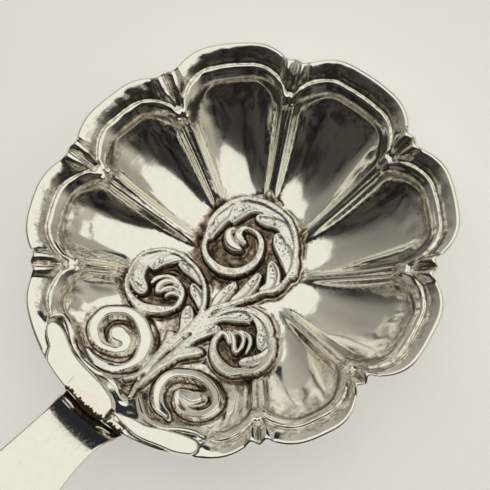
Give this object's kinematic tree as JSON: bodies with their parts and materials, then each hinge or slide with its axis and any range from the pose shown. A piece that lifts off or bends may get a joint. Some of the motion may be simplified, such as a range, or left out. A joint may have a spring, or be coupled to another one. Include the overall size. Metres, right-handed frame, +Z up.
{
  "type": "caddy spoon",
  "caption": "Short silver spoon with a round, lobed and fluted bowl, a flared rim, chased leaf scrolls at the heel and a plain waisted handle, for measuring dry tea.",
  "frame": {"origin": "middle of the flat underside of the bowl, where the spoon rests on a table", "axes": "+Z up out of the bowl, -X along the handle towards its end, +X towards the front lobe of the bowl"},
  "size_m": [0.0822, 0.0492, 0.0137],
  "materials": {
    "bowl_silver": "old polished silver, dark patina in the recesses",
    "handle_silver": "polished silver with fine scratches",
    "solder_silver": "silver solder, slightly dull and pitted"
  },
  "bodies": {
    "root": {"bowl": "bowl_silver", "handle": "handle_silver", "solder_seam": "solder_silver"}
  },
  "joints": []
}
